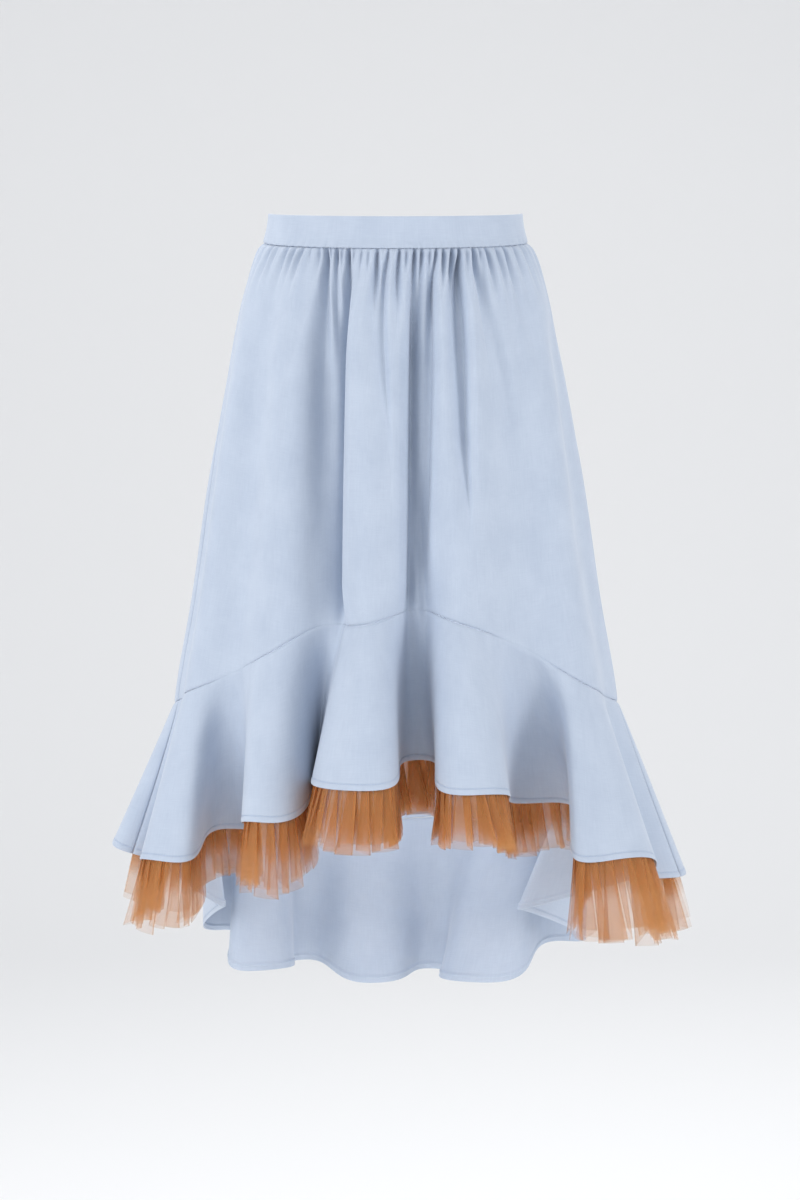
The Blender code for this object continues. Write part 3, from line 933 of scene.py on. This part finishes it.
def polyester_thread(name, hex_colour):
    """Twisted polyester thread, a little glossier than the cloth and lighter where it catches light."""
    material, tree = blank(name)
    place = (add(tree, "ShaderNodeTexCoord"), "Object")
    twist = add(tree, "ShaderNodeTexWave", values={"Scale": 900.0, "Distortion": 1.0}, links={"Vector": place})
    bump = add(
        tree,
        "ShaderNodeBump",
        values={"Strength": 0.3, "Distance": 0.0001},
        links={"Height": (twist, "Fac")},
    )
    shader = add(
        tree,
        "ShaderNodeBsdfPrincipled",
        values={"Base Color": linear(hex_colour), "Roughness": 0.45, "IOR": 1.57},
        links={"Normal": (bump, 0)},
    )
    add(tree, "ShaderNodeOutputMaterial", links={"Surface": (shader, 0)})
    return material


def painted_zinc(name):
    """Die-cast zinc with a baked pale blue paint: smooth, half glossy, worn a little paler in patches."""
    material, tree = blank(name)
    place = (add(tree, "ShaderNodeTexCoord"), "Object")
    worn = add(tree, "ShaderNodeTexNoise", values={"Scale": 420.0, "Detail": 4.0}, links={"Vector": place})
    colour = add(
        tree,
        "ShaderNodeMix",
        {"data_type": "RGBA"},
        {6: linear("A9BCD8"), 7: linear("C3D0E4")},
        {0: (worn, "Fac")},
    )
    gloss = add(
        tree,
        "ShaderNodeMapRange",
        values={"To Min": 0.28, "To Max": 0.45},
        links={"Value": (worn, "Fac")},
    )
    shader = add(
        tree,
        "ShaderNodeBsdfPrincipled",
        values={"IOR": 1.5, "Coat Weight": 0.3},
        links={"Base Color": (colour, 2), "Roughness": (gloss, 0)},
    )
    add(tree, "ShaderNodeOutputMaterial", links={"Surface": (shader, 0)})
    return material


def seamless_paper(name):
    """Matt white studio paper with a hardly visible tooth."""
    material, tree = blank(name)
    place = (add(tree, "ShaderNodeTexCoord"), "Object")
    tooth = add(tree, "ShaderNodeTexNoise", values={"Scale": 300.0, "Detail": 2.0}, links={"Vector": place})
    bump = add(
        tree,
        "ShaderNodeBump",
        values={"Strength": 0.05, "Distance": 0.0005},
        links={"Height": (tooth, "Fac")},
    )
    shader = add(
        tree,
        "ShaderNodeBsdfPrincipled",
        values={"Base Color": linear("F0F0F0"), "Roughness": 0.9},
        links={"Normal": (bump, 0)},
    )
    add(tree, "ShaderNodeOutputMaterial", links={"Surface": (shader, 0)})
    return material


def area_light(name, place, aim, size, power):
    """A soft box of this width and height, turned to its aim."""
    lamp = bpy.data.lights.new(name, "AREA")
    lamp.shape = "RECTANGLE"
    lamp.size, lamp.size_y = size
    lamp.energy = power
    made = bpy.data.objects.new(name, lamp)
    made.location = place
    made.rotation_euler = (Vector(aim) - Vector(place)).to_track_quat("-Z", "Y").to_euler()
    bpy.context.scene.collection.objects.link(made)


def studio():
    """A floor that sweeps up behind, soft lights and the camera."""
    floor_z, wall_y, bend = -1.5, 4.8, 1.8
    half = 7.0
    profile = [(-5.0, floor_z), (wall_y - bend, floor_z)]
    for step in range(1, 17):
        u = math.radians(90 * step / 16)
        profile.append((wall_y - bend + bend * math.sin(u), floor_z + bend * (1 - math.cos(u))))
    profile.append((wall_y, 5.5))
    corners = [(x, y, z) for y, z in profile for x in (-half, half)]
    faces = [(2 * i, 2 * i + 1, 2 * i + 3, 2 * i + 2) for i in range(len(profile) - 1)]
    paper = seamless_paper("seamless_paper")
    piece("studio_floor", np.array(corners) / MM, faces, [True] * len(faces), paper)
    area_light("left_light", (-3.2, -1.9, 0.7), (0.0, -0.8, -0.4), (1.4, 2.6), 39)
    area_light("left_front_light", (-2.4, -2.9, 0.9), (0.0, -0.6, -0.4), (1.4, 2.2), 30.5)
    area_light("right_light", (3.2, -1.9, 0.7), (0.0, -0.8, -0.4), (1.4, 2.6), 57)
    area_light("low_light", (0.0, -0.55, -1.45), (0.0, 0.25, -0.7), (1.2, 0.5), 2.4)
    area_light("paper_light", (0.3, 1.1, 0.8), (0.1, 1.4, -1.5), (3.2, 0.8), 22)
    # Stands for the light that comes through the thin cloth to the inside of the back
    area_light("inside_light", (0.0, 0.0, -0.42), (0.0, 0.22, -0.78), (0.2, 0.08), 0.55)
    world = bpy.data.worlds.new("studio_air")
    world.use_nodes = True
    air = world.node_tree.nodes["Background"]
    air.inputs["Color"].default_value = linear("F2F4F8")
    air.inputs["Strength"].default_value = 0.73
    bpy.context.scene.world = world
    bpy.context.scene.view_settings.view_transform = "Standard"
    # Light passes many layers of net before it meets cloth
    bpy.context.scene.cycles.transparent_max_bounces = 32
    lens = bpy.data.cameras.new("front_camera")
    lens.lens = 76.99
    lens.sensor_width = 36.0
    lens.clip_end = 50.0
    camera = bpy.data.objects.new("front_camera", lens)
    camera.location = (0.0045, -2.550, -0.076)
    camera.rotation_euler = (math.radians(83.512), 0.0, 0.0)
    bpy.context.scene.collection.objects.link(camera)
    bpy.context.scene.camera = camera


def sewn(made, slot, *nodes):
    """Rides on the skirt and stands for CAD nodes; slot is not used."""
    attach(made, "root")
    if nodes:
        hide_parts(*nodes)
    return made


studio()

cloth = peached_cotton("peached_cotton_sateen", "BBC6D6", "AEBACC")
net = nylon_tulle("nylon_tulle")
thread = polyester_thread("polyester_thread", "B9C8DF")
zinc = painted_zinc("painted_zinc")

# The overlock thread is coloured much darker than the cloth: partly its own colour, partly painted shade along the
# seam allowance's upper edge
overlock_thread = polyester_thread("polyester_overlock_thread", "5F6C84")

# Panels: their seams, how long and how high their bands are cut, and the width, length and area of their cuts
PANELS = (
    ("front", LEFT_SEAM, RIGHT_SEAM, (0.42, 0.028), (0.72, 0.48), 0.25),
    ("back_right", RIGHT_SEAM, BACK_SEAM, (0.18, 0.028), (0.40, 0.64), 0.17),
    ("back_left", BACK_SEAM, LEFT_SEAM + TURN, (0.18, 0.028), (0.40, 0.64), 0.17),
)
for side, start, end, band_cut, cut, area in PANELS:
    band = sewn(band_panel("waistband_" + side + "_cloth", start, end, cloth), "pale_blue_cloth", "waistband_" + side)
    panel = sewn(body_panel("body_" + side + "_cloth", start, end, cloth), "pale_blue_cloth", "body_" + side)

# Each flounce is cut as part of a ring
FLOUNCES = (
    ("front", LEFT_SEAM, RIGHT_SEAM, (0.61, 0.56), 0.185, ["body_front_cloth"]),
    ("back", RIGHT_SEAM, LEFT_SEAM + TURN, (0.80, 0.48), 0.185, ["body_back_right_cloth", "body_back_left_cloth"]),
)
for side, start, end, cut, area, above in FLOUNCES:
    panel = sewn(flounce_panel("flounce_" + side + "_cloth", start, end, cloth), "pale_blue_cloth", "flounce_" + side)
    sewing = sewn(hem_topstitch("hem_topstitch_" + side, start, end, thread), "pale_blue_cloth")

allowance = sewn(allowance_strip("seam_allowance_back_cloth", cloth), "pale_blue_cloth", "seam_allowance_back")
edging = sewn(overlock("seam_allowance_overlock", overlock_thread), "pale_blue_cloth")

TULLE_PLIES = (
    ("outer", 5, 4.2, 0.0, 15.0, (5.2, 0.12), 0.31),
    ("inner", 9, 9.4, 0.07, 16.5, (4.6, 0.11), 0.25),
)
for ply, seed, set_in, shorter, advance, cut, area in TULLE_PLIES:
    frill = tulle_ply("tulle_frill_" + ply + "_net", seed, set_in, shorter, advance, net)
    sewn(frill, "tan_tulle", "tulle_frill_" + ply)

for name in ("zip_slider", "zip_pull_tab"):
    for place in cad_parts[name].material_slots:
        place.material = zinc
